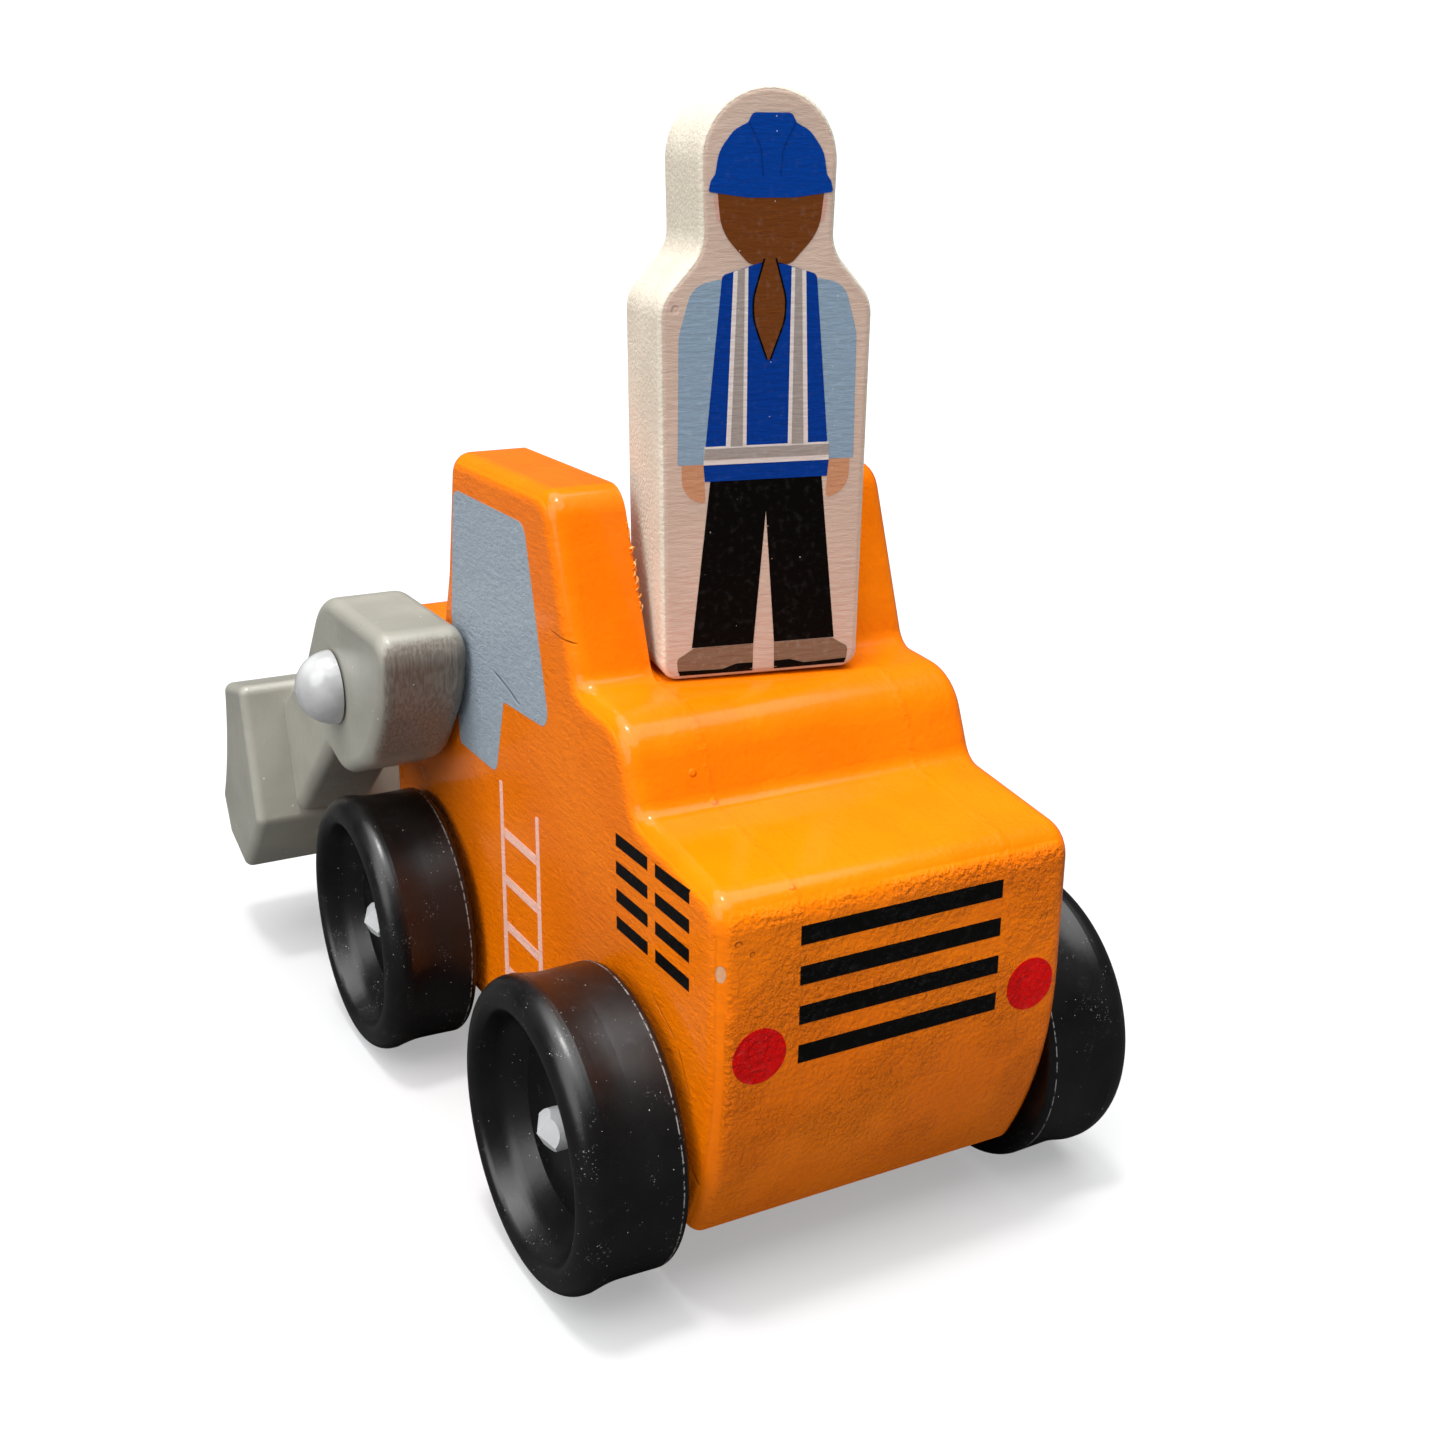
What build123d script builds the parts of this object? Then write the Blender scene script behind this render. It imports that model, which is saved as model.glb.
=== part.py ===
"""Wooden toy wheel loader with a standing worker figure.

Millimetres. X points forward, Y to the loader's left and Z up. The origin is on the
ground, under the middle of the toy. Side views are drawn as distance from the rear
face and height above the ground. Left-hand pieces are modelled and then mirrored.
"""

import os

from build123d import *

os.makedirs("parts", exist_ok=True)

# Overall
LENGTH = 150.0  # rear face to the bucket's cutting edge
FIGURE_TOP = 143.0

# Body: two side plates glued to a centre block
BODY_W = 50.0
PLATE_LEFT_T = 10.6
PLATE_RIGHT_T = 9.75
BLOCK_W = BODY_W - PLATE_LEFT_T - PLATE_RIGHT_T
BELLY_Z = 10.3
HOOD_Z = 57.0
SEAT_Z = 71.5
CAB_TOP_Z = 94.8
NOSE_X = 112.5
NOSE_Z = 66.0
TAIL_R = 55.0  # the long curve under the rear face
TAIL_Z = 38.0  # height where that curve starts
EDGE_R = 2.5  # sanded outer edges

# Wheels and axles
REAR_AXLE_X = 22.5
FRONT_AXLE_X = 91.4
AXLE_Z = 20.0
WHEEL_R = 20.0
WHEEL_W = 13.8
WHEEL_Y = 26.6  # inner face of the wheel
AXLE_R = 2.75
AXLE_HOLE_R = 2.80
AXLE_END_Y = 38.0
AXLE_POINT_ANGLE = 35.0  # slope of the four facets on its ends, degrees

# Loader arms and the pegs that they turn on
ARM_Y = 25.6
ARM_T = 12.9
ARM_EDGE_R = 2.0
PEG_X = 97.5
PEG_Z = 57.0
PEG_R = 3.5
PEG_HOLE_R = 3.55
PEG_HEAD_R = 5.7
PEG_DEPTH = 8.0  # glued length inside the side plate
PEG_HEAD_GAP = 0.3

# Bucket and the dowels that fix it to the arms
BUCKET_W = 91.0
BUCKET_CORNER_R = 1.6
BUCKET_EDGE_R = 1.5
BUCKET_DOWEL_R = 3.0
BUCKET_DOWEL_Z = 37.5
BUCKET_DOWEL_IN = 9.0  # length inside each of the two pieces

# Dowels that pin the three layers of the body together
BODY_DOWEL_R = 4.0
BODY_DOWEL_L = 42.0
BODY_DOWELS = {"rear": (46.0, 46.0), "front": (66.0, 30.0)}

# Worker figure
FIGURE_X = 32.9  # middle of its printed face, from the rear face of the body
FIGURE_Y = 0.9
FIGURE_TURN = -11.0  # degrees; it stands askew, one edge against the right cab wall
FIGURE_T = 15.5
FIGURE_EDGE_R = 0.9
HEAD_HALF_W = 8.9
NECK_HALF_W = 8.4
NECK_Z = 124.4
SHOULDER_HALF_W = 13.7
SHOULDER_Z = 118.4
FOOT_HALF_W = 13.2
FOOT_R = 2.2

AXLES = ((REAR_AXLE_X, AXLE_Z), (FRONT_AXLE_X, AXLE_Z))


def side_plane(y):
    """Side-view plane at y: its x is the distance from the rear face, its y is Z."""
    return Plane(origin=(-LENGTH / 2, y, 0), x_dir=(1, 0, 0), z_dir=(0, -1, 0))


def body_outline(middle):
    """Closed side view of the body, with the given corners between hood and nose."""
    tail_x = TAIL_R - (TAIL_R**2 - (TAIL_Z - BELLY_Z) ** 2) ** 0.5
    corners = [  # distance from the rear, height, corner radius
        (0.0, HOOD_Z, 4.5),
        (20.8, 60.0, 3.0),
        (25.3, 70.6, 8.0),
        *middle,
        (NOSE_X, NOSE_Z, 8.0),
        (NOSE_X, BELLY_Z, 6.0),
    ]
    points = [(0, TAIL_Z), *((x, z) for x, z, _ in corners), (tail_x, BELLY_Z)]
    FilletPolyline(*points, radius=[r for _, _, r in corners])
    TangentArc((0, TAIL_Z), (tail_x, BELLY_Z), tangent=(0, -1))


def export(piece, name):
    """Label a finished piece and write its STEP file."""
    piece.label = name
    export_step(piece, f"parts/{name}.step")


# --- Body -------------------------------------------------------------------------

def make_side_plate(thickness):
    """Left-hand board of the body with its cab wall, axle holes, dowel holes and peg hole."""
    with BuildPart() as plate:
        with BuildSketch(side_plane(BODY_W / 2)):
            with BuildLine():
                body_outline(
                    [
                        (37.3, SEAT_Z, 3.0),
                        (45.8, CAB_TOP_Z, 4.5),
                        (80.3, CAB_TOP_Z, 3.5),
                        (83.9, 76.5, 14.0),
                        (87.6, NOSE_Z, 3.0),
                    ]
                )
            make_face()
        extrude(amount=thickness)
        fillet(plate.faces().sort_by(Axis.Y)[-1].edges(), EDGE_R)
        with BuildSketch(side_plane(BODY_W / 2)):
            with Locations(*AXLES):
                Circle(AXLE_HOLE_R)
        extrude(amount=thickness, mode=Mode.SUBTRACT)
        with BuildSketch(side_plane(BODY_DOWEL_L / 2)):
            with Locations(*BODY_DOWELS.values()):
                Circle(BODY_DOWEL_R)
        extrude(amount=thickness - (BODY_W - BODY_DOWEL_L) / 2, mode=Mode.SUBTRACT)
        with BuildSketch(side_plane(BODY_W / 2)):
            with Locations((PEG_X, PEG_Z)):
                Circle(PEG_R)
        extrude(amount=PEG_DEPTH, mode=Mode.SUBTRACT)
    return plate.part


with BuildPart() as center_block:
    with BuildSketch(side_plane(BODY_W / 2 - PLATE_LEFT_T)):
        with BuildLine():
            body_outline([(37.3, SEAT_Z, 3.0), (85.6, SEAT_Z, 2.0), (87.6, NOSE_Z, 3.0)])
        make_face()
        with Locations(*AXLES):
            Circle(AXLE_HOLE_R, mode=Mode.SUBTRACT)
        with Locations(*BODY_DOWELS.values()):
            Circle(BODY_DOWEL_R, mode=Mode.SUBTRACT)
    extrude(amount=BLOCK_W)

export(make_side_plate(PLATE_LEFT_T), "side_plate_left")
export(mirror(make_side_plate(PLATE_RIGHT_T), about=Plane.XZ), "side_plate_right")
export(center_block.part, "center_block")

for place, (x, z) in BODY_DOWELS.items():
    with BuildPart() as body_dowel:
        with BuildSketch(side_plane(BODY_DOWEL_L / 2)):
            with Locations((x, z)):
                Circle(BODY_DOWEL_R)
        extrude(amount=BODY_DOWEL_L)
    export(body_dowel.part, f"body_dowel_{place}")

# --- Axles and wheels -------------------------------------------------------------

WHEEL_SECTION = [  # radius, distance outwards from the inner face, corner radius
    (AXLE_R, 0.0, 0.0),
    (19.6, 0.0, 0.9),
    (19.4, 7.5, 14.0),
    (WHEEL_R, 10.4, 0.6),
    (WHEEL_R, WHEEL_W, 2.8),
    (16.1, WHEEL_W, 1.5),
    (14.7, 10.2, 4.0),
    (12.2, 7.6, 0.3),
    (AXLE_R, 7.6, 0.0),
]


def make_wheel(axle_x):
    """Moulded left-hand wheel with a dished outer face, pressed on its axle's end."""
    centre = (axle_x - LENGTH / 2, WHEEL_Y, AXLE_Z)
    with BuildPart() as wheel:
        with BuildSketch(Plane(origin=centre, x_dir=(1, 0, 0), z_dir=(0, 0, 1))):
            with BuildLine():
                FilletPolyline(
                    *((radius, out) for radius, out, _ in WHEEL_SECTION),
                    radius=[corner for _, _, corner in WHEEL_SECTION],
                    close=True,
                )
            make_face()
        revolve(axis=Axis(centre, (0, 1, 0)))
    return wheel.part


def make_axle(axle_x):
    """Round axle whose ends are cut to a blunt four-sided point."""
    with BuildPart() as axle:
        with BuildSketch(side_plane(AXLE_END_Y)):
            with Locations((axle_x, AXLE_Z)):
                Circle(AXLE_R)
        extrude(amount=2 * AXLE_END_Y)
        for side in (1, -1):
            tip = (axle_x - LENGTH / 2, side * AXLE_END_Y, AXLE_Z)
            for turn in (20, 110, 200, 290):
                out = Vector(0, side, 0).rotate(Axis.X, AXLE_POINT_ANGLE)
                facet = Plane(origin=tip, z_dir=out.rotate(Axis.Y, turn))
                split(bisect_by=facet, keep=Keep.BOTTOM)
    return axle.part


for place, axle_x in (("rear", REAR_AXLE_X), ("front", FRONT_AXLE_X)):
    left_wheel = make_wheel(axle_x)
    export(make_axle(axle_x), f"axle_{place}")
    export(left_wheel, f"wheel_{place}_left")
    export(mirror(left_wheel, about=Plane.XZ), f"wheel_{place}_right")

# --- Loader arms, bucket and pegs -------------------------------------------------

KNEE = (124.4, 25.7)  # lower corner of the bucket's rear face
REAR_TOP = (130.3, 48.6)  # its upper corner
REAR_SLOPE = (REAR_TOP[0] - KNEE[0]) / (REAR_TOP[1] - KNEE[1])


def on_bucket_rear(z):
    """Point of the bucket's rear face at height z."""
    return (KNEE[0] + REAR_SLOPE * (z - KNEE[1]), z)


def bucket_dowel(plane_y):
    """Solid of a dowel across the joint between an arm and the bucket."""
    x, z = on_bucket_rear(BUCKET_DOWEL_Z)
    forward = Vector(1, 0, -REAR_SLOPE).normalized()
    start = Vector(x - LENGTH / 2, plane_y, z) - forward * BUCKET_DOWEL_IN
    with BuildPart() as dowel:
        with BuildSketch(Plane(origin=start, z_dir=forward)):
            Circle(BUCKET_DOWEL_R)
        extrude(amount=2 * BUCKET_DOWEL_IN)
    return dowel.part


arm_dowel_left = bucket_dowel(ARM_Y + ARM_T / 2)
arm_dowel_right = bucket_dowel(-ARM_Y - ARM_T / 2)

with BuildPart() as arm_left:
    with BuildSketch(side_plane(ARM_Y + ARM_T)):
        with BuildLine():
            start, end = on_bucket_rear(27.0), on_bucket_rear(46.2)
            FilletPolyline(
                start,
                (103.6, 44.8),
                (96.5, 42.9),
                (83.5, 48.5),
                (74.8, 59.5),
                (72.2, 70.5),
                (103.5, 70.5),
                (114.0, 57.3),
                end,
                radius=[2.0, 8.0, 14.0, 14.0, 4.0, 13.0, 5.0],
            )
            Line(end, start)
        make_face()
        with Locations((PEG_X, PEG_Z)):
            Circle(PEG_HOLE_R, mode=Mode.SUBTRACT)
    extrude(amount=ARM_T)
    for face_index in (0, -1):
        face = arm_left.faces().filter_by(Axis.Y).sort_by(Axis.Y)[face_index]
        outline = face.outer_wire().edges().sort_by(Axis.X)[:-1]
        fillet(outline, ARM_EDGE_R)
    add(arm_dowel_left, mode=Mode.SUBTRACT)

with BuildPart() as bucket:
    with BuildSketch(side_plane(BUCKET_W / 2)) as bucket_end:
        with BuildLine():
            front_top, lip = (142.4, 46.0), (150.27, 23.2)
            ThreePointArc(front_top, (144.5, 35.0), lip)
            Polyline(lip, (146.6, 16.2), (136.8, 13.2), KNEE, REAR_TOP, front_top)
        make_face()
        fillet(bucket_end.vertices(), BUCKET_CORNER_R)
    extrude(amount=BUCKET_W)
    for face_index in (0, -1):
        fillet(bucket.faces().sort_by(Axis.Y)[face_index].edges(), BUCKET_EDGE_R)
    add(arm_dowel_left, mode=Mode.SUBTRACT)
    add(arm_dowel_right, mode=Mode.SUBTRACT)

with BuildPart() as pivot_peg_left:
    inner_y, head_y = BODY_W / 2 - PEG_DEPTH, ARM_Y + ARM_T + PEG_HEAD_GAP
    with BuildSketch(Plane(origin=(PEG_X - LENGTH / 2, 0, PEG_Z), z_dir=(0, 0, 1))):
        with BuildLine():
            Polyline((0, inner_y), (PEG_R, inner_y), (PEG_R, head_y), (PEG_HEAD_R, head_y))
            CenterArc((0, head_y), PEG_HEAD_R, 0, 90)
            Line((0, head_y + PEG_HEAD_R), (0, inner_y))
        make_face()
    revolve(axis=Axis((PEG_X - LENGTH / 2, 0, PEG_Z), (0, 1, 0)))

export(arm_left.part, "arm_left")
export(mirror(arm_left.part, about=Plane.XZ), "arm_right")
export(arm_dowel_left, "arm_dowel_left")
export(arm_dowel_right, "arm_dowel_right")
export(bucket.part, "bucket")
export(pivot_peg_left.part, "pivot_peg_left")
export(mirror(pivot_peg_left.part, about=Plane.XZ), "pivot_peg_right")

# --- Worker figure ----------------------------------------------------------------

FIGURE_CORNERS = [  # half width, height, corner radius
    (HEAD_HALF_W, FIGURE_TOP, HEAD_HALF_W - 0.3),
    (NECK_HALF_W, NECK_Z, 5.0),
    (SHOULDER_HALF_W, SHOULDER_Z, 5.0),
    (FOOT_HALF_W, SEAT_Z, FOOT_R),
]
figure_facing = Vector(1, 0, 0).rotate(Axis.Z, FIGURE_TURN)
figure_face = Plane(
    origin=(FIGURE_X - LENGTH / 2, FIGURE_Y, 0),
    x_dir=figure_facing.rotate(Axis.Z, -90),
    z_dir=figure_facing * -1,
)

with BuildPart() as worker_figure:
    with BuildSketch(figure_face):
        with BuildLine():
            around = [(w, z, r) for w, z, r in reversed(FIGURE_CORNERS)]
            around += [(-w, z, r) for w, z, r in FIGURE_CORNERS]
            FilletPolyline(
                *((w, z) for w, z, _ in around), radius=[r for _, _, r in around], close=True
            )
        make_face()
    extrude(amount=-FIGURE_T)
    fillet(worker_figure.faces().filter_by(Axis(figure_face.origin, figure_facing)).edges(),
           FIGURE_EDGE_R)
export(worker_figure.part, "worker_figure")
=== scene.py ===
"""Looks of the wooden toy wheel loader: studio, paints, prints and small wear.

Everything is in metres in the frame's own axes: +X forward, +Y to the loader's left
and +Z up. Prints are drawn in millimetres on a flat sheet and then laid on the wood.
"""

import math
import random

import bmesh
import bpy
from mathutils import Matrix, Vector
from mathutils.bvhtree import BVHTree
from mathutils.geometry import tessellate_polygon


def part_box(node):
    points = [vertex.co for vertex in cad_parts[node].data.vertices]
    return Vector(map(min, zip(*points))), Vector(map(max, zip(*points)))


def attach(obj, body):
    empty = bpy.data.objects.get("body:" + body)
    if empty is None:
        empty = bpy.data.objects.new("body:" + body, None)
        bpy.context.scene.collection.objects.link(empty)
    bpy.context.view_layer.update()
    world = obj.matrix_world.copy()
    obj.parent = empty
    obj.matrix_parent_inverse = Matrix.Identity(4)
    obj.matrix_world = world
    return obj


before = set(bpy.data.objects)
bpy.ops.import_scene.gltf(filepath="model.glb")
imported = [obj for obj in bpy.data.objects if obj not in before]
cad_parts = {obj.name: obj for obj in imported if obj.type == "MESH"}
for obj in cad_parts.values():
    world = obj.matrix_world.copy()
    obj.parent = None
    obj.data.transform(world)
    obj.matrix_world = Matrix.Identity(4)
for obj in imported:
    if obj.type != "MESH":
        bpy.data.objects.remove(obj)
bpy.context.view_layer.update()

MM = 0.001
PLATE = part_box("side_plate_left")
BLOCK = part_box("center_block")
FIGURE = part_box("worker_figure")
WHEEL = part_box("wheel_rear_left")
REAR_X = PLATE[0].x  # rear face of the body
LEFT_Y = PLATE[1].y  # left side of the body
FIGURE_MIDDLE = (FIGURE[0] + FIGURE[1]) / 2
FIGURE_TURN = math.radians(-11.0)  # the figure stands askew in its slot
FIGURE_HALF_T = 7.75  # half the figure's thickness, mm
FIGURE_AHEAD = Vector((math.cos(FIGURE_TURN), math.sin(FIGURE_TURN), 0))
FIGURE_ACROSS = Vector((-math.sin(FIGURE_TURN), math.cos(FIGURE_TURN), 0))


# --- Camera, floor and light --------------------------------------------------------------

CAMERA_AZIMUTH = math.radians(28.87)  # from straight behind towards the loader's left
CAMERA_ELEVATION = math.radians(18.73)
CAMERA_ROLL = math.radians(0.54)
CAMERA_DISTANCE = 0.2102
CAMERA_TARGET = Vector((REAR_X + 0.0209, 0.0132, 0.0704))
CAMERA_LENS = 43.56

MIX_FACTOR, MIX_A, MIX_B, MIX_RESULT = 0, 6, 7, 2  # sockets of a Mix node that mixes colours

SKY_SEEN = (1.05, 1.05, 1.05, 1)  # by the camera
SKY_LIT = (0.30, 0.31, 0.33, 1)  # by diffuse bounces
SKY_MIRRORED = (0.07, 0.07, 0.08, 1)  # by gloss, so that deep colours stay deep

FLOOR_HALF = 30.0
FLOOR_SEEN = ((0.31, 0.31, 0.315, 1), (0.33, 0.33, 0.33, 1))
FLOOR_LIT = (0.26, 0.26, 0.26, 1)
FLOOR_MIRRORED = (0.03, 0.03, 0.03, 1)
FLOOR_GLOW = 0.36  # lifts the shadow, for the camera only

SUNS = (  # name, direction towards it, strength, apparent width in degrees
    ("top_light", (-0.04, 0.06, 1.0), 4.2, 70),
    ("spark_light", (-0.02, 0.10, 1.0), 1.9, 9),
    ("side_light", (-0.22, 0.85, 0.6), 1.85, 45),
)


def make_camera():
    back = Vector((
        -math.cos(CAMERA_ELEVATION) * math.cos(CAMERA_AZIMUTH),
        math.cos(CAMERA_ELEVATION) * math.sin(CAMERA_AZIMUTH),
        math.sin(CAMERA_ELEVATION),
    ))
    right = Vector((0, 0, 1)).cross(back).normalized()
    up = back.cross(right)
    data = bpy.data.cameras.new("camera")
    data.lens = CAMERA_LENS
    data.clip_start = 0.01
    camera = bpy.data.objects.new("camera", data)
    bpy.context.scene.collection.objects.link(camera)
    turned = Matrix((right, up, back)).transposed().to_4x4()
    turned = Matrix.Translation(CAMERA_TARGET + back * CAMERA_DISTANCE) @ turned
    camera.matrix_world = turned @ Matrix.Rotation(CAMERA_ROLL, 4, "Z")
    bpy.context.scene.camera = camera


def make_sun(name, towards, strength, spread):
    """Soft parallel light from a direction; spread is how wide the source looks, degrees."""
    data = bpy.data.lights.new(name, "SUN")
    data.energy = strength
    data.angle = math.radians(spread)
    sun = bpy.data.objects.new(name, data)
    bpy.context.scene.collection.objects.link(sun)
    sun.rotation_euler = Vector(towards).to_track_quat("Z", "Y").to_euler()


def make_world():
    """Dim sky that the camera alone sees as white, so that the floor runs into it."""
    world = bpy.data.worlds.new("studio")
    world.use_nodes = True
    nodes, links = world.node_tree.nodes, world.node_tree.links
    path = nodes.new("ShaderNodeLightPath")
    bounced = nodes.new("ShaderNodeMix")
    bounced.data_type = "RGBA"
    bounced.inputs[MIX_A].default_value = SKY_LIT
    bounced.inputs[MIX_B].default_value = SKY_MIRRORED
    links.new(path.outputs["Is Glossy Ray"], bounced.inputs[MIX_FACTOR])
    seen = nodes.new("ShaderNodeMix")
    seen.data_type = "RGBA"
    links.new(path.outputs["Is Camera Ray"], seen.inputs[MIX_FACTOR])
    links.new(bounced.outputs[MIX_RESULT], seen.inputs[MIX_A])
    seen.inputs[MIX_B].default_value = SKY_SEEN
    links.new(seen.outputs[MIX_RESULT], nodes["Background"].inputs["Color"])
    bpy.context.scene.world = world


def make_floor():
    """Pale paper floor; like the sky, it is brighter to the camera than to bounced light."""
    mesh = bpy.data.meshes.new("floor")
    half = FLOOR_HALF
    corners = [(-half, -half, 0), (half, -half, 0), (half, half, 0), (-half, half, 0)]
    mesh.from_pydata(corners, [], [(0, 1, 2, 3)])
    floor = bpy.data.objects.new("floor", mesh)
    bpy.context.scene.collection.objects.link(floor)
    paper = Paint("floor_paper", roughness=0.9)
    cloudy = paper.step(paper.noise(0.004), 0.3, 0.7)
    white = paper.mix(cloudy, *FLOOR_SEEN)
    path = paper.node("LightPath").outputs
    seen = path["Is Camera Ray"]
    bounced = paper.mix(path["Is Glossy Ray"], FLOOR_LIT, FLOOR_MIRRORED)
    paper.set("Base Color", paper.mix(seen, bounced, white))
    paper.set("Emission Color", (1, 1, 1, 1))
    paper.set("Emission Strength", paper.times(seen, FLOOR_GLOW))
    mesh.materials.append(paper.material)


# --- Materials ----------------------------------------------------------------------------


def srgb(red, green, blue):
    """Linear colour of an 8-bit display colour."""
    linear = [c / 12.92 if c <= 0.04045 else ((c + 0.055) / 1.055) ** 2.4
              for c in (red / 255, green / 255, blue / 255)]
    return (*linear, 1)


def faded(colour, share):
    """The colour moved by a share of the way to white."""
    return tuple(c + (1 - c) * share for c in colour[:3]) + (1,)


class Paint:
    """A material with one Principled shader, and short ways to add nodes in front of it."""

    def __init__(self, name, roughness, **sockets):
        self.material = bpy.data.materials.new(name)
        self.material.use_nodes = True
        self.tree = self.material.node_tree
        self.shader = self.tree.nodes["Principled BSDF"]
        self.set("Roughness", roughness)
        for socket, value in sockets.items():
            self.set(socket.replace("_", " "), value)
        coordinates = self.node("TexCoord")
        self.normal = coordinates.outputs["Normal"]
        self.place = self.vector("SCALE", coordinates.outputs["Object"], Scale=1 / MM)

    def fill(self, socket, value):
        """Link a node's output to the socket, or set the socket's own value."""
        if isinstance(value, bpy.types.NodeSocket):
            self.tree.links.new(value, socket)
        else:
            socket.default_value = value

    def set(self, socket, value):
        self.fill(self.shader.inputs[socket], value)

    def node(self, kind, settings=None, inputs=None):
        """A new shader node with its settings and its inputs filled in."""
        made = self.tree.nodes.new("ShaderNode" + kind)
        for name, value in (settings or {}).items():
            setattr(made, name, value)
        for name, value in (inputs or {}).items():
            self.fill(made.inputs[name], value)
        return made

    def vector(self, operation, a, b=None, **inputs):
        inputs[0] = a
        if b is not None:
            inputs[1] = b
        return self.node("VectorMath", {"operation": operation}, inputs).outputs[0]

    def math(self, operation, a, b=0.0):
        return self.node("Math", {"operation": operation}, {0: a, 1: b}).outputs[0]

    def add(self, *values):
        total = values[0]
        for value in values[1:]:
            total = self.math("ADD", total, value)
        return total

    def times(self, *values):
        total = values[0]
        for value in values[1:]:
            total = self.math("MULTIPLY", total, value)
        return total

    def noise(self, scale, detail=2.0, stretch=None, rough=0.5):
        """Noise from 0 to 1 with scale features per millimetre."""
        place = self.vector("MULTIPLY", self.place, stretch) if stretch else self.place
        inputs = {"Vector": place, "Scale": scale, "Detail": detail, "Roughness": rough}
        return self.node("TexNoise", None, inputs).outputs[0]

    def step(self, value, low, high):
        """Smooth step from 0 at low to 1 at high."""
        inputs = {"Value": value, "From Min": low, "From Max": high}
        return self.node("MapRange", {"interpolation_type": "SMOOTHSTEP"}, inputs).outputs[0]

    def mix(self, factor, a, b):
        inputs = {MIX_FACTOR: factor, MIX_A: a, MIX_B: b}
        return self.node("Mix", {"data_type": "RGBA"}, inputs).outputs[MIX_RESULT]

    def facing(self, direction, low=0.8, high=0.95):
        """1 where the surface faces along the direction."""
        node = self.node("VectorMath", {"operation": "DOT_PRODUCT"}, {0: self.normal, 1: direction})
        return self.step(node.outputs["Value"], low, high)

    def spot(self, centre, size, turn=(0, 0, 0), soft=0.5):
        """1 inside an ellipsoid given in millimetres from the frame's origin."""
        turn = tuple(math.radians(angle) for angle in turn)
        inputs = {"Vector": self.place, "Location": centre, "Rotation": turn, "Scale": size}
        inside = self.node("Mapping", {"vector_type": "TEXTURE"}, inputs).outputs[0]
        length = self.node("VectorMath", {"operation": "LENGTH"}, {0: inside}).outputs["Value"]
        return self.step(length, 1.0, 1.0 - soft)

    def largest(self, *values):
        total = values[0]
        for value in values[1:]:
            total = self.math("MAXIMUM", total, value)
        return total

    def band(self, axis, centre, half_width):
        """1 in a plane across the axis, fading to 0 at half_width millimetres from it."""
        along = self.node("SeparateXYZ", None, {0: self.place}).outputs[axis]
        away = self.math("ABSOLUTE", self.math("SUBTRACT", along, centre))
        return self.step(away, half_width, 0.0)

    def specks(self, scale, size, share):
        """Small round dots: cells per millimetre, dot size in cells, and share of cells."""
        cells = self.node("TexVoronoi", None, {"Vector": self.place, "Scale": scale})
        dot = self.step(cells.outputs["Distance"], size, size * 0.6)
        chance = self.node("SeparateColor", None, {0: cells.outputs["Color"]}).outputs[0]
        return self.times(dot, self.step(chance, share + 0.01, share))

    def relief(self, height, depth):
        """Bump whose height of 1 stands depth millimetres proud."""
        bump = self.node("Bump", None, {"Strength": 1.0, "Distance": depth * MM, "Height": height})
        self.set("Normal", bump.outputs[0])


def from_rear(x, y, z):
    """Millimetres in the frame of a point given from the rear face."""
    return (x + REAR_X / MM, y, z)


BODY_RELIEF = 0.34  # height of the painted wood's relief at 1, mm
FIGURE_RELIEF = 0.16
GRAY_RELIEF = 0.22
WHEEL_RELIEF = 0.06
BOARD_SEAMS = (PLATE[0].y / MM, BLOCK[0].y / MM)  # where the boards meet under the paint
SEAM_HALF_W = 0.9
REAR_DEPTH = 12.0  # how far from the rear face the rear's thick paint reaches, mm

TREAD_EDGE_Y = WHEEL[0].y / MM + 1.0  # a wheel's inner tread edge, on the left
# Half width of the painted highlight line at the wheels' inner tread edge, mm.
EDGE_HALF_W = 0.14

# Places in the paint, in millimetres: x from the rear face, y and z as in the frame
DENTS = (  # place, half sizes, slope in degrees
    ((0, 22.4, 52.0), (1.2, 0.55, 0.40), 0),
    ((0, 20.6, 50.4), (1.2, 0.40, 0.35), 0),
    ((61.0, 25, 65.2), (5.4, 1.0, 0.45), -14),
    ((42.0, 24.6, 77.0), (3.4, 1.6, 0.30), -6),
    ((13.5, 25, 37.3), (4.4, 0.8, 0.22), -28),
    ((8.0, 25, 32.2), (3.6, 0.8, 0.25), -60),
    ((6.0, 25, 20.5), (2.6, 0.8, 0.30), -50),
)
PAINT_BEADS = ((2.0, 14.6, 56.6), (20.6, 14.4, 60.6), (22.4, 16.4, 64.0), (9.0, -2.0, 57.2))
BEAD_R = 0.6
FLAW_PLACE, FLAW_R = (11.6, 117.6), 0.6  # a pit beside the figure's shoulder: across, height
CHIP_PLACE, CHIP_SIZE = (0.5, 24.4, 48.4), (1.0, 0.75, 1.35)


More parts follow.
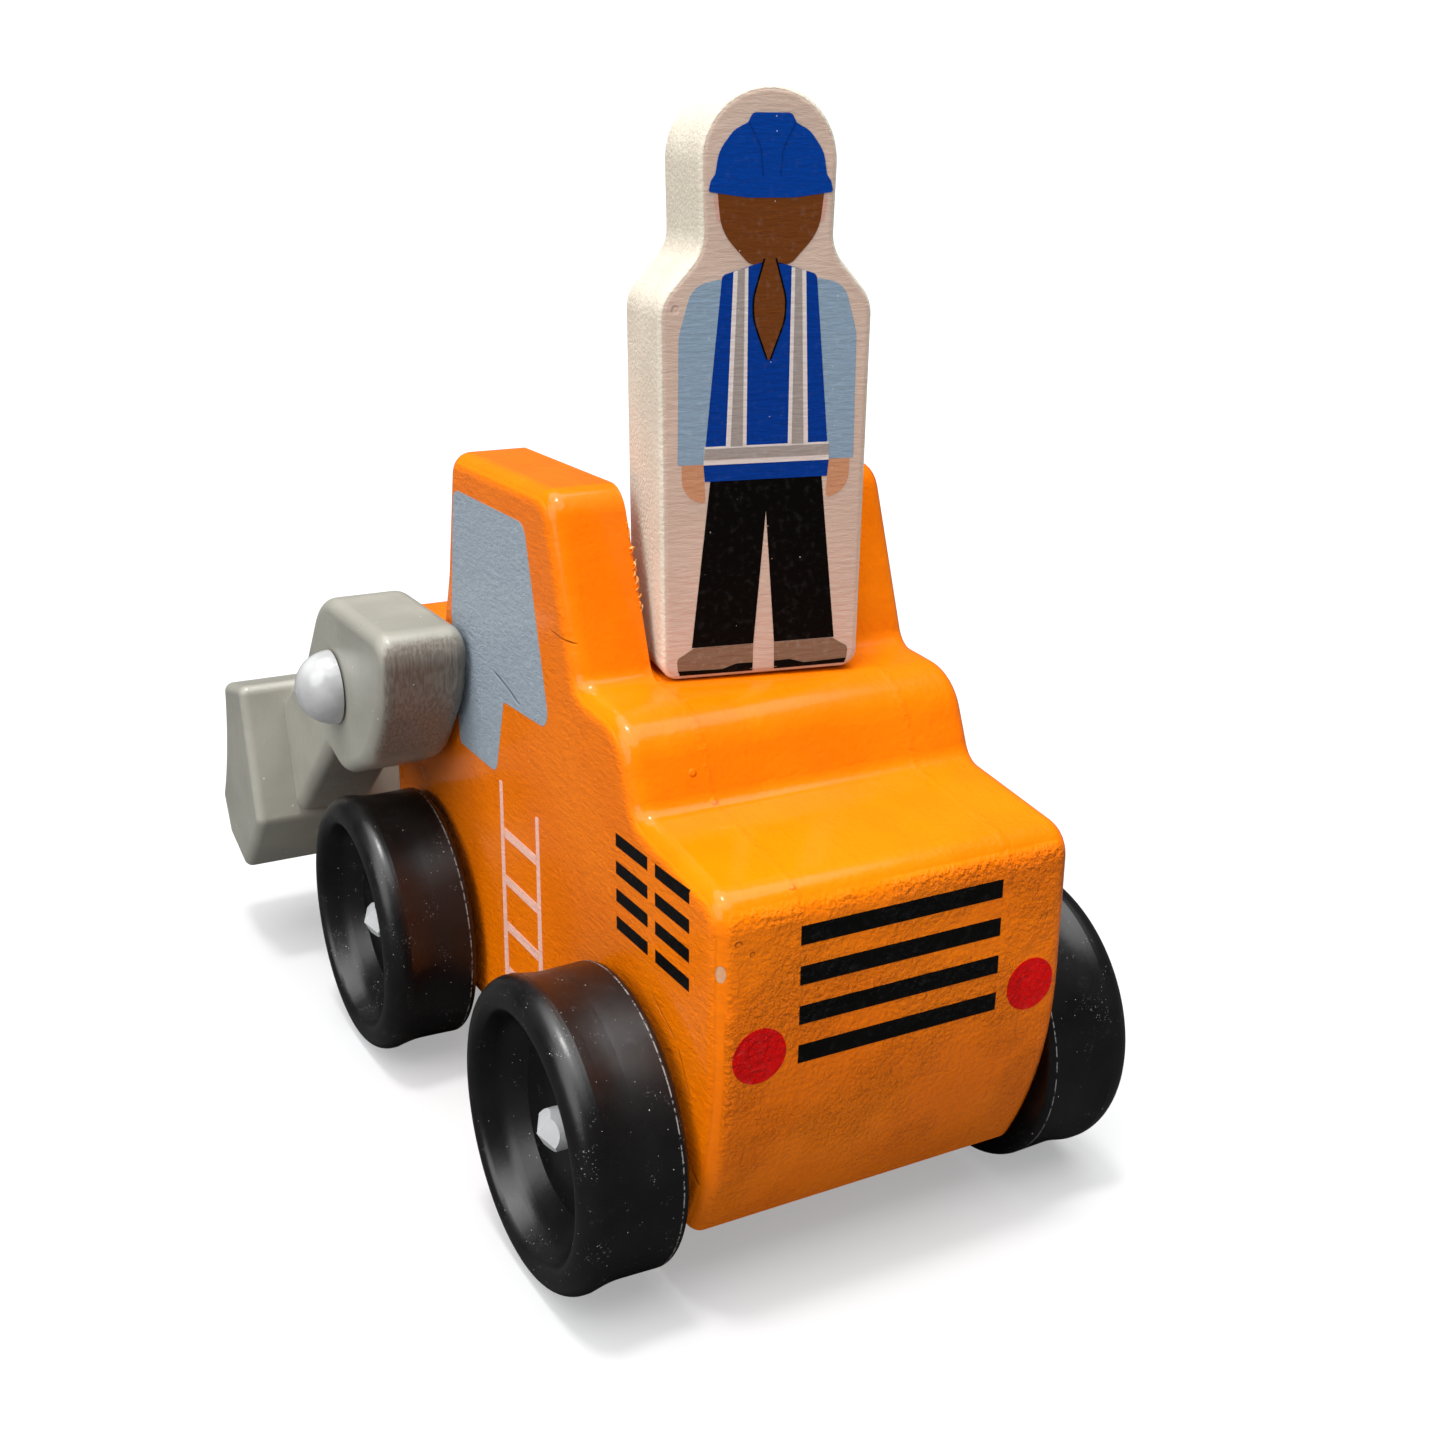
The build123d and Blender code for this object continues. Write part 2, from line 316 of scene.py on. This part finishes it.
def body_relief(paint):
    """Relief of the painted wood, the same under enamel and prints."""
    side = paint.largest(paint.facing((0, 1, 0)), paint.facing((0, -1, 0)))
    rear = paint.times(paint.facing((-1, 0, 0)), paint.band("X", REAR_X / MM, REAR_DEPTH))
    grain = paint.noise(1.4, 5.0, stretch=(0.35, 1.0, 1.0), rough=0.7)
    broad = paint.noise(0.35, 2.0, stretch=(0.6, 1.0, 1.0))
    peel = paint.noise(1.5, 3.0, rough=0.55)
    patches = paint.step(paint.noise(0.09, 2.0), 0.38, 0.60)
    seams = paint.largest(*(paint.band("Y", y, SEAM_HALF_W) for y in BOARD_SEAMS))
    height = paint.add(
        paint.times(broad, 0.5),
        paint.times(peel, 0.25),
        paint.times(side, grain, 1.3),
        paint.times(rear, patches, peel, 2.6),
        paint.times(rear, peel, 0.9),
        paint.times(seams, peel, 0.35),
    )
    dents = paint.largest(*(paint.spot(from_rear(*place), size, turn=(0, slope, 0))
                            for place, size, slope in DENTS))
    beads = paint.largest(*(paint.spot(from_rear(*place), (BEAD_R, BEAD_R, BEAD_R))
                            for place in PAINT_BEADS))
    return paint.add(height, paint.times(dents, -1.6), paint.times(beads, 0.5))


def orange_enamel():
    """Thick glossy enamel, worn dull in clouds and chipped to the wood at one corner."""
    paint = Paint("orange_enamel", 0.27, Specular_IOR_Level=0.05, Coat_Weight=0.75,
                  Coat_Roughness=0.13, Coat_IOR=1.28)
    shade = paint.step(paint.noise(0.05, 3.0), 0.35, 0.65)
    colour = paint.mix(shade, srgb(223, 107, 0), srgb(230, 115, 1))
    streak = paint.noise(1.1, 3.0, stretch=(0.10, 1.0, 1.0))
    colour = paint.mix(paint.times(paint.step(streak, 0.55, 0.8), 0.25), colour, srgb(204, 94, 0))
    ragged = paint.add(0.65, paint.times(paint.noise(1.6, 2.0), 0.6))
    chip = paint.spot(from_rear(*CHIP_PLACE), CHIP_SIZE, soft=0.3)
    bare = paint.step(paint.times(chip, ragged), 0.40, 0.55)
    paint.set("Base Color", paint.mix(bare, colour, srgb(200, 150, 114)))
    worn = paint.step(paint.noise(0.12, 3.0), 0.45, 0.75)
    paint.set("Roughness", paint.add(0.24, paint.times(worn, 0.08), paint.times(bare, 0.3)))
    paint.relief(paint.add(body_relief(paint), paint.times(bare, -0.8)), BODY_RELIEF)
    return paint.material


def body_print(name, colour, roughness=0.32, fade=0.12):
    """Ink on the painted body, which follows the body's relief."""
    paint = Paint(name, roughness, Specular_IOR_Level=0.05, Coat_Weight=0.5,
                  Coat_Roughness=0.2, Coat_IOR=1.2)
    thin = paint.step(paint.noise(0.8, 3.0), 0.5, 0.85)
    lighter = faded(colour, fade)
    paint.set("Base Color", paint.mix(thin, colour, lighter))
    paint.relief(body_relief(paint), BODY_RELIEF)
    return paint.material


def gray_paint(name, streaked_and_shaded):
    """Satin gray; the flag adds painted shade, with a reddish painted reflection of the orange body,
    on the rear-facing ends, and fine upright streaks.
    """
    paint = Paint(name, 0.36, Specular_IOR_Level=0.25, Coat_Weight=0.5,
                  Coat_Roughness=0.22, Coat_IOR=1.35)
    grain = paint.noise(1.2, 4.0, stretch=(0.14, 1.0, 0.8), rough=0.6)
    cloudy = paint.step(paint.noise(0.07, 2.0), 0.35, 0.65)
    colour = paint.mix(cloudy, srgb(138, 136, 126), srgb(148, 146, 135))
    height = paint.add(paint.times(paint.noise(0.45, 2.0), 0.30), paint.times(grain, 0.25))
    if streaked_and_shaded:
        behind = paint.facing((-1, 0, 0), 0.5, 0.8)
        streaks = paint.noise(2.4, 3.0, stretch=(1.0, 1.0, 0.03), rough=0.6)
        uneven = paint.add(0.35, paint.times(paint.step(streaks, 0.35, 0.65), 0.30))
        # Painted shade and a reddish painted reflection of the orange body on rear-facing faces,
        # broken up by the upright streaks.
        tone_mask = paint.times(behind, uneven)
        colour = paint.mix(tone_mask, colour, srgb(70, 50, 42))
        height = paint.add(height, paint.times(behind, streaks, 0.5))
    pale_marks = paint.specks(0.8, 0.16, 0.06)
    paint.set("Base Color", paint.mix(pale_marks, colour, srgb(190, 188, 182)))
    paint.relief(height, GRAY_RELIEF)
    return paint.material


def black_plastic():
    """Moulded wheels, rubbed and scuffed, with a painted highlight line round the inner tread edge.
    """
    paint = Paint("black_moulded_plastic", 0.3, Specular_IOR_Level=0.42)
    cloudy = paint.step(paint.noise(0.15, 3.0), 0.35, 0.7)
    colour = paint.mix(cloudy, srgb(11, 10, 10), srgb(17, 16, 16))
    tone_mask = paint.step(paint.noise(0.35, 5.0, rough=0.7), 0.60, 0.78)
    colour = paint.mix(paint.times(tone_mask, 0.35), colour, srgb(60, 59, 57))
    scuffs = paint.times(paint.step(paint.noise(3.0, 4.0, rough=0.7), 0.60, 0.68),
                         paint.step(paint.noise(0.25, 2.0), 0.56, 0.68))
    edge_breakup = paint.step(paint.noise(1.8, 3.0), 0.42, 0.55)
    # A thin pale line at the inner tread edge is a painted highlight, broken up by noise; it joins
    # the dust specks and scuffs.
    painted_edge_highlight = paint.largest(*(paint.band("Y", y, EDGE_HALF_W)
                                 for y in (TREAD_EDGE_Y, -TREAD_EDGE_Y)))
    pale_marks = paint.largest(
        paint.specks(1.1, 0.11, 0.05),
        paint.specks(2.3, 0.14, 0.04),
        paint.times(scuffs, 0.5),
        paint.times(painted_edge_highlight, edge_breakup, 0.6),
    )
    paint.set("Base Color", paint.mix(pale_marks, colour, srgb(176, 174, 170)))
    paint.set("Roughness", paint.add(0.30, paint.times(tone_mask, 0.2), paint.times(cloudy, 0.06)))
    height = paint.add(paint.times(paint.noise(0.6, 2.0), 0.3), paint.times(paint.noise(4.0), 0.12))
    paint.relief(height, WHEEL_RELIEF)
    return paint.material


def gray_plastic(name, colour, roughness):
    paint = Paint(name, roughness, Specular_IOR_Level=0.5)
    cloudy = paint.step(paint.noise(0.3, 2.0), 0.3, 0.7)
    paint.set("Base Color", paint.mix(cloudy, colour, faded(colour, 0.12)))
    paint.relief(paint.noise(0.8, 3.0), 0.03)
    return paint.material


def bare_wood():
    paint = Paint("bare_beech", 0.6)
    rings = paint.noise(0.9, 4.0, stretch=(1.0, 0.12, 1.0), rough=0.6)
    grain = paint.step(rings, 0.35, 0.7)
    paint.set("Base Color", paint.mix(grain, srgb(222, 190, 148), srgb(190, 150, 106)))
    paint.relief(rings, 0.05)
    return paint.material


def figure_point(across, z):
    """Millimetres in the frame of a point on the figure's rear side."""
    place = FIGURE_MIDDLE - FIGURE_AHEAD * FIGURE_HALF_T * MM + FIGURE_ACROSS * across * MM
    return (place.x / MM, place.y / MM, z)


def figure_relief(paint):
    """Relief of the figure's painted wood, the same under its prints."""
    printed = paint.largest(paint.facing(FIGURE_AHEAD), paint.facing(-FIGURE_AHEAD))
    grain = paint.noise(1.2, 3.0, stretch=(1.0, 0.28, 1.5), rough=0.6)
    dots = paint.noise(2.0, 2.0)
    flaw = paint.spot(figure_point(*FLAW_PLACE), (FLAW_R, FLAW_R, FLAW_R))
    rough_side = paint.times(paint.math("SUBTRACT", 1.0, printed), dots, 0.8)
    return paint.add(paint.times(grain, 0.8), rough_side, paint.times(flaw, -0.8))


def figure_paint():
    """Cream sides, rosier printed faces that are also darker as painted shade, and a blue-gray
    overspray on the head's far edge.
    """
    paint = Paint("cream_paint", 0.5, Specular_IOR_Level=0.15)
    printed = paint.largest(paint.facing(FIGURE_AHEAD), paint.facing(-FIGURE_AHEAD))
    cloudy = paint.step(paint.noise(0.12, 3.0), 0.35, 0.7)
    cream = paint.mix(cloudy, srgb(200, 191, 174), srgb(208, 199, 182))
    # The printed faces are rosier, and darker than the sides as painted shade.
    rosy_shaded = paint.mix(cloudy, srgb(190, 166, 150), srgb(197, 173, 157))
    pores = paint.times(paint.step(paint.noise(2.4, 2.0), 0.62, 0.8), 0.35)
    colour = paint.mix(printed, cream, rosy_shaded)
    overspray = paint.times(paint.facing(FIGURE_AHEAD, 0.15, 0.5), paint.facing((0, 0, 1), 0.3, 0.6))
    colour = paint.mix(overspray, colour, srgb(70, 104, 128))
    paint.set("Base Color", paint.mix(pores, colour, srgb(168, 152, 132)))
    paint.relief(figure_relief(paint), FIGURE_RELIEF)
    return paint.material


def figure_print(name, colour, fade=0.10, roughness=0.42):
    """Ink on the figure, slightly worn through."""
    paint = Paint(name, roughness, Specular_IOR_Level=0.06)
    thin = paint.step(paint.noise(1.2, 3.0), 0.5, 0.85)
    lighter = faded(colour, fade)
    ink = paint.mix(thin, colour, lighter)
    missing = paint.specks(1.3, 0.14, 0.05)
    paint.set("Base Color", paint.mix(paint.times(missing, 0.7), ink, srgb(205, 190, 178)))
    paint.relief(figure_relief(paint), FIGURE_RELIEF)
    return paint.material


# --- Drawing outlines on a sheet, in millimetres ------------------------------------------

ARC_STEP = math.radians(8)


def rounded(corners):
    """Closed outline through (x, y, radius) corners, each corner an arc."""
    outline = []
    for i, (x, y, radius) in enumerate(corners):
        here = Vector((x, y))
        before = (Vector(corners[i - 1][:2]) - here).normalized()
        after = (Vector(corners[(i + 1) % len(corners)][:2]) - here).normalized()
        half = before.angle(after) / 2
        if radius <= 0 or half > math.pi / 2 - 0.01:
            outline.append(here)
            continue
        centre = here + (before + after).normalized() * radius / math.sin(half)
        start = here + before * radius / math.tan(half) - centre
        end = here + after * radius / math.tan(half) - centre
        turn = math.atan2(start.x * end.y - start.y * end.x, start.dot(end))
        steps = max(2, int(abs(turn) / ARC_STEP) + 1)
        for k in range(steps + 1):
            outline.append(centre + Matrix.Rotation(turn * k / steps, 2) @ start)
    return outline


def rectangle(x0, y0, x1, y1, radius=0.0):
    return rounded([(x0, y0, radius), (x1, y0, radius), (x1, y1, radius), (x0, y1, radius)])


def circle(x, y, radius, steps=56):
    return [Vector((x + radius * math.cos(t), y + radius * math.sin(t)))
            for t in (2 * math.pi * k / steps for k in range(steps))]


def flipped(outline):
    """The outline mirrored left to right."""
    return [Vector((-p.x, p.y)) for p in reversed(outline)]


def pair(corners):
    """A rounded outline and its mirror image."""
    outline = rounded(corners)
    return [outline, flipped(outline)]


def whole(half):
    """Rounded outline of a symmetric shape from the corners of its right half."""
    return rounded(half + [(-x, y, r) for x, y, r in reversed(half)])


# --- Laying prints on the wood ------------------------------------------------------------

INK = 0.03  # thickness of one layer of print, mm
SUNK = 0.02  # how far a print's underside lies in the paint, mm
RAY_START = 0.02  # how far outside the sheet a ray to the wood starts, m
SHEET_OUT = 0.01  # from the figure's middle to its sheets, m


def surface(*names):
    """Search tree of the named CAD pieces' surfaces."""
    points, faces = [], []
    for name in names:
        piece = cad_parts[name]
        first = len(points)
        points += [piece.matrix_world @ v.co for v in piece.data.vertices]
        faces += [[first + i for i in face.vertices] for face in piece.data.polygons]
    return BVHTree.FromPolygons(points, faces)


def laid_on(tree, origin, across, up, out):
    """Function from a sheet point and a height in mm to its place on the surface."""
    def place(point, height):
        start = origin + across * point.x * MM + up * point.y * MM + out * RAY_START
        hit, normal, _, _ = tree.ray_cast(start, -out)
        return hit + normal * height * MM
    return place


BODY = surface("side_plate_left", "side_plate_right", "center_block")
WORKER = surface("worker_figure")
X, Y, Z = Vector((1, 0, 0)), Vector((0, 1, 0)), Vector((0, 0, 1))
PRINT_SHIFT = FIGURE_ACROSS * -0.2 * MM  # the figure's print sits a little off centre
FOOT = Vector((FIGURE_MIDDLE.x, FIGURE_MIDDLE.y, 0)) + PRINT_SHIFT
left_side = laid_on(BODY, X * REAR_X + Y * LEFT_Y, X, Z, Y)
right_side = laid_on(BODY, X * REAR_X - Y * LEFT_Y, X, Z, -Y)
rear_face = laid_on(BODY, X * REAR_X, Y, Z, -X)
figure_rear = laid_on(WORKER, FOOT - FIGURE_AHEAD * SHEET_OUT, FIGURE_ACROSS, Z, -FIGURE_AHEAD)
figure_front = laid_on(WORKER, FOOT + FIGURE_AHEAD * SHEET_OUT, -FIGURE_ACROSS, Z, FIGURE_AHEAD)


def sheet_cap(outlines, longest):
    """Flat triangle mesh of the outlines, no edge longer than given."""
    cap = bmesh.new()
    for outline in outlines:
        points = [cap.verts.new((p.x, p.y, 0)) for p in outline]
        for triangle in tessellate_polygon([[v.co for v in points]]):
            cap.faces.new([points[i] for i in triangle])
    long_edges = [e for e in cap.edges if e.calc_length() > longest]
    while long_edges:
        bmesh.ops.subdivide_edges(cap, edges=long_edges, cuts=1)
        bmesh.ops.triangulate(cap, faces=cap.faces)
        long_edges = [e for e in cap.edges if e.calc_length() > longest]
    return cap


def print_piece(name, outlines, place, material, body, slot, layer=1, longest=3.0):
    """A thin closed layer of ink with the given outlines, following the surface."""
    cap = sheet_cap(outlines, longest)
    bm = bmesh.new()
    top = {v: bm.verts.new(place(v.co, layer * INK)) for v in cap.verts}
    low = {v: bm.verts.new(place(v.co, -SUNK)) for v in cap.verts}
    for face in cap.faces:
        bm.faces.new([top[v] for v in face.verts])
        bm.faces.new([low[v] for v in reversed(face.verts)])
    for edge in cap.edges:
        if edge.is_boundary:
            a, b = edge.verts
            bm.faces.new((top[a], top[b], low[b], low[a]))
    cap.free()
    bmesh.ops.recalc_face_normals(bm, faces=bm.faces)
    add_piece(name, bm, material, body)


def add_piece(name, bm, material, body):
    """Turn the mesh into a piece with its material, on its body."""
    mesh = bpy.data.meshes.new(name)
    bm.to_mesh(mesh)
    bm.free()
    mesh.materials.append(material)
    piece = bpy.data.objects.new(name, mesh)
    bpy.context.scene.collection.objects.link(piece)
    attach(piece, body)


# --- Prints on the body -------------------------------------------------------------------

BLACK_INK = body_print("black_ink", srgb(9, 8, 7), 0.35, fade=0.008)
WINDOW_INK = body_print("window_ink", srgb(140, 151, 161), 0.34)
LADDER_INK = body_print("ladder_ink", srgb(226, 176, 160), 0.34)
LAMP_INK = body_print("lamp_ink", srgb(205, 2, 2), 0.3, fade=0.02)

FINE = 0.9  # longest edge of a print that has to follow a rounded corner or show no facets, mm

# Sizes on the side sheets, in millimetres forward from the rear face and up from the floor
VENT_COLUMNS = (6.9, 17.6)
VENT_ROWS = 4
VENT_W, VENT_H = 8.65, 1.71
VENT_TOP, VENT_PITCH = 56.4, 3.7
LADDER_RAILS = ((51.3, 49.5), (64.2, 50.5))  # middle line and top
LADDER_BOTTOM, LADDER_HALF_W = 16.0, 0.8
LADDER_RUNGS = (42.9, 35.6, 28.3, 21.0)
RUNG_HALF_H = 0.75
WINDOW = [
    (53.1, 89.6, 2.5), (46.1, 63.4, 2.4), (62.1, 62.8, 0.8), (65.8, 51.2, 2.2),
    (80.2, 51.3, 1.0), (81.6, 70.6, 6.0), (78.9, 89.6, 2.2),
]

# Sizes on the rear sheet, in millimetres from the middle and up from the floor
GRILLE_BARS = 4
GRILLE_HALF_W, GRILLE_H = 14.24, 2.41
GRILLE_TOP, GRILLE_PITCH = 52.47, 5.07
LAMP_Y, LAMP_Z, LAMP_R = 19.47, 37.17, 3.56


def vents():
    tops = [VENT_TOP - VENT_PITCH * row for row in range(VENT_ROWS)]
    return [rectangle(x, top - VENT_H, x + VENT_W, top) for x in VENT_COLUMNS for top in tops]


def ladder_rail(x, top):
    """A rail that narrows a little towards its top."""
    low, high = LADDER_HALF_W, LADDER_HALF_W * 0.7
    return rounded([(x - low, LADDER_BOTTOM, 0.2), (x + low, LADDER_BOTTOM, 0.2),
                    (x + high, top, 0.35), (x - high, top, 0.35)])


def ladder_rungs():
    (rear, _), (front, _) = LADDER_RAILS
    return [rectangle(rear + LADDER_HALF_W, z - RUNG_HALF_H, front - LADDER_HALF_W, z + RUNG_HALF_H)
            for z in LADDER_RUNGS]


def grille():
    tops = [GRILLE_TOP - GRILLE_PITCH * row for row in range(GRILLE_BARS)]
    return [rectangle(-GRILLE_HALF_W, top - GRILLE_H, GRILLE_HALF_W, top) for top in tops]


def print_body():
    def ink(name, outlines, place, material, **mesh):
        print_piece(name, outlines, place, material, "chassis", "orange_wood", **mesh)

    for side, place in (("left", left_side), ("right", right_side)):
        ink(f"vents_{side}", vents(), place, BLACK_INK, longest=FINE)
        ink(f"window_{side}", [rounded(WINDOW)], place, WINDOW_INK)
        ladder = [ladder_rail(x, top) for x, top in LADDER_RAILS] + ladder_rungs()
        ink(f"ladder_{side}", ladder, place, LADDER_INK)
        y = LAMP_Y if side == "left" else -LAMP_Y
        ink(f"tail_lamp_{side}", [circle(y, LAMP_Z, LAMP_R)], rear_face, LAMP_INK, longest=FINE)
    ink("grille", grille(), rear_face, BLACK_INK)


# --- Prints on the worker figure ----------------------------------------------------------

# Corners of the right half of each shape: out from the middle, up from the floor, corner radius
HELMET = [(3.0, 130.35, 8.0), (7.8, 131.0, 0.3), (7.5, 132.2, 0.5), (6.95, 133.0, 0.8),
          (6.5, 135.6, 4.0), (4.7, 137.9, 3.0), (3.0, 138.75, 0.2), (2.4, 139.85, 0.7)]
HELMET_RIB = [(2.75, 138.7, 0.0), (2.95, 138.7, 0.0), (1.5, 136.0, 3.0), (1.15, 132.8, 0.0),
              (1.0, 132.8, 0.0), (1.3, 136.0, 3.0)]
HEAD = [(6.65, 131.0, 0.0), (6.2, 126.5, 6.0), (2.6, 122.7, 1.5)]
EAR = [(6.2, 130.6, 0.0), (7.2, 130.6, 0.5), (6.7, 127.6, 0.5), (6.1, 127.6, 0.0)]
THROAT = [(0.6, 123.4, 0.0), (1.95, 118.8, 5.0), (1.9, 116.2, 6.0), (0.1, 111.5, 0.0)]
VEST = [(1.3, 122.9, 0.0), (6.0, 121.5, 0.8), (7.95, 101.0, 0.0)]
STRIPE = [(2.75, 122.4, 0.0), (4.6, 121.9, 0.0), (5.35, 101.1, 0.0), (2.7, 101.1, 0.0)]
STRIPE_CORE = [(3.2, 122.3, 0.0), (4.05, 122.1, 0.0), (4.75, 101.1, 0.0), (3.2, 101.1, 0.0)]
BAND = [(8.1, 101.15, 0.0), (8.2, 98.9, 0.0)]
BAND_CORE = [(8.1, 100.9, 0.0), (8.17, 99.55, 0.0)]
HEM = [(8.2, 98.95, 0.0), (8.0, 96.85, 0.0)]
SLEEVE = [(6.0, 121.1, 0.3), (9.7, 120.3, 3.0), (11.4, 114.5, 6.0), (11.5, 99.0, 0.2),
          (8.15, 98.95, 0.0), (7.0, 111.4, 6.0)]
HAND = [(8.2, 99.0, 0.0), (11.0, 99.0, 0.0), (10.9, 94.4, 3.0), (7.9, 94.2, 0.5)]
TROUSERS = [(0.0, 97.0, 0.0), (7.3, 96.95, 0.0), (9.6, 75.7, 0.0), (1.4, 75.7, 0.0),
            (0.0, 92.9, 0.0)]
SHOE = [(1.4, 75.65, 0.0), (9.3, 75.65, 1.0), (11.6, 74.3, 0.8), (11.4, 72.4, 0.3),
        (1.45, 72.3, 0.0)]
SOLE = [(1.45, 73.15, 0.0), (3.6, 73.2, 1.0), (5.6, 72.6, 1.0), (11.35, 72.75, 0.0),
        (11.2, 72.15, 0.0), (1.45, 72.1, 0.0)]
THROAT_EDGE = 0.25  # how far the dark edge shows round the open collar

HELMET_INK = figure_print("helmet_ink", srgb(1, 56, 140), 0.01)
HELMET_LINE_INK = figure_print("helmet_line_ink", srgb(1, 46, 118), 0.02)
VEST_INK = figure_print("vest_ink", srgb(1, 50, 132), 0.01)
SKIN_INK = figure_print("skin_ink", srgb(103, 55, 20), 0.03)
HAND_INK = figure_print("hand_ink", srgb(184, 132, 98), 0.05)
EAR_INK = figure_print("ear_ink", srgb(192, 148, 134), 0.06)
DARK_INK = figure_print("dark_ink", srgb(8, 7, 6), 0.01)
SHIRT_INK = figure_print("shirt_ink", srgb(128, 149, 166), 0.06)
WHITE_INK = figure_print("white_ink", srgb(206, 196, 190), 0.08)
SILVER_INK = figure_print("silver_ink", srgb(148, 139, 133), 0.06)
SHOE_INK = figure_print("shoe_ink", srgb(124, 98, 78), 0.08)


def print_figure(side, place):
    """The worker on one side of the figure, in layers; the open collar is on the rear only."""
    def ink(name, outlines, material, layer):
        print_piece(f"{name}_{side}", outlines, place, material, "figure", "white_wood", layer)

    ink("trousers", pair(TROUSERS), DARK_INK, 1)
    ink("shoes", pair(SHOE), SHOE_INK, 1)
    ink("soles", pair(SOLE), DARK_INK, 2)
    ink("hands", pair(HAND), HAND_INK, 1)
    ink("sleeves", pair(SLEEVE), SHIRT_INK, 1)
    ink("vest", [whole(VEST)], VEST_INK, 2)
    ink("stripes", pair(STRIPE), WHITE_INK, 3)
    ink("stripe_cores", pair(STRIPE_CORE), SILVER_INK, 4)
    ink("hem", [whole(HEM)], VEST_INK, 2)
    ink("band", [whole(BAND)], WHITE_INK, 3)
    ink("band_core", [whole(BAND_CORE)], SILVER_INK, 4)
    ink("ears", pair(EAR), EAR_INK, 1)
    ink("head", [whole(HEAD)], SKIN_INK, 2)
    if side == "rear":
        edge = [(x + THROAT_EDGE, z, radius) for x, z, radius in THROAT]
        ink("throat_edge", [whole(edge)], DARK_INK, 3)
        ink("throat", [whole(THROAT)], SKIN_INK, 4)
    ink("helmet", [whole(HELMET)], HELMET_INK, 3)
    ink("helmet_ribs", pair(HELMET_RIB), HELMET_LINE_INK, 4)


# --- Small wear ---------------------------------------------------------------------------

FLAKES = 16
FLAKE_RINGS = 5
FLAKE_LOW, FLAKE_HIGH = 79.5, 90.0  # stretch of the pillar's edge that has flaked, height in mm
FLAKE_HALF_T = 0.05
PILLAR_X, PILLAR_Z, PILLAR_SLOPE = 37.4, 71.5, 0.365  # foot and lean of the pillar's rear edge


def paint_flakes():
    """Curled paint slivers along the inner rear edge of the left cab pillar."""
    rng = random.Random(7)
    bm = bmesh.new()
    for i in range(FLAKES):
        z = FLAKE_LOW + (FLAKE_HIGH - FLAKE_LOW) * (i + rng.random()) / FLAKES
        x = REAR_X / MM + PILLAR_X + PILLAR_SLOPE * (z - PILLAR_Z)
        root = Vector((x, BLOCK[1].y / MM + rng.uniform(0.02, 0.25), z))
        lift = rng.uniform(-0.3, 1.2)
        width = rng.uniform(0.25, 0.55)
        reach = rng.uniform(0.18, 0.34)
        curl = rng.uniform(0.3, 0.7)
        rings = []
        for k in range(FLAKE_RINGS):
            angle = lift + curl * k
            wide = width * (1 - 0.17 * k)
            out = Vector((-math.cos(angle), rng.uniform(-0.10, 0.04), math.sin(angle)))
            thick = Vector((math.sin(angle), 0, math.cos(angle))) * FLAKE_HALF_T
            across = Vector((0.3, 0.25, 1)).cross(out).normalized() * wide / 2
            rings.append([bm.verts.new((root + side * across + sign * thick) * MM)
                          for side, sign in ((-1, -1), (1, -1), (1, 1), (-1, 1))])
            root = root + out * reach
        for low, high in zip(rings, rings[1:]):
            for j in range(4):
                bm.faces.new((low[j], low[(j + 1) % 4], high[(j + 1) % 4], high[j]))
        bm.faces.new(rings[0][::-1])
        bm.faces.new(rings[-1])
    bmesh.ops.recalc_face_normals(bm, faces=bm.faces)
    paint = Paint("flaked_enamel", 0.4, Specular_IOR_Level=0.1)
    pale = paint.step(paint.noise(0.9), 0.40, 0.60)
    paint.set("Base Color", paint.mix(pale, srgb(226, 122, 14), srgb(228, 178, 112)))
    add_piece("paint_flakes", bm, paint.material, "chassis")


# --- Dressing the CAD pieces --------------------------------------------------------------


def dress(material, *names):
    for name in names:
        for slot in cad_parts[name].material_slots:
            slot.material = material


def dress_all():
    dress(orange_enamel(), "side_plate_left", "side_plate_right", "center_block")
    dress(gray_paint("arm_gray", streaked_and_shaded=True), "arm_left", "arm_right")
    dress(gray_paint("bucket_gray", streaked_and_shaded=False), "bucket")
    dress(black_plastic(), *(f"wheel_{end}_{side}" for end in ("rear", "front")
                             for side in ("left", "right")))
    dress(gray_plastic("peg_plastic", srgb(160, 160, 160), 0.2), "pivot_peg_left", "pivot_peg_right")
    dress(gray_plastic("axle_plastic", srgb(186, 187, 188), 0.3), "axle_rear", "axle_front")
    dress(bare_wood(), "body_dowel_rear", "body_dowel_front", "arm_dowel_left", "arm_dowel_right")
    dress(figure_paint(), "worker_figure")


make_camera()
make_world()
make_floor()
for sun in SUNS:
    make_sun(*sun)
bpy.context.scene.view_settings.view_transform = "Standard"
dress_all()
print_body()
print_figure("rear", figure_rear)
print_figure("front", figure_front)
paint_flakes()
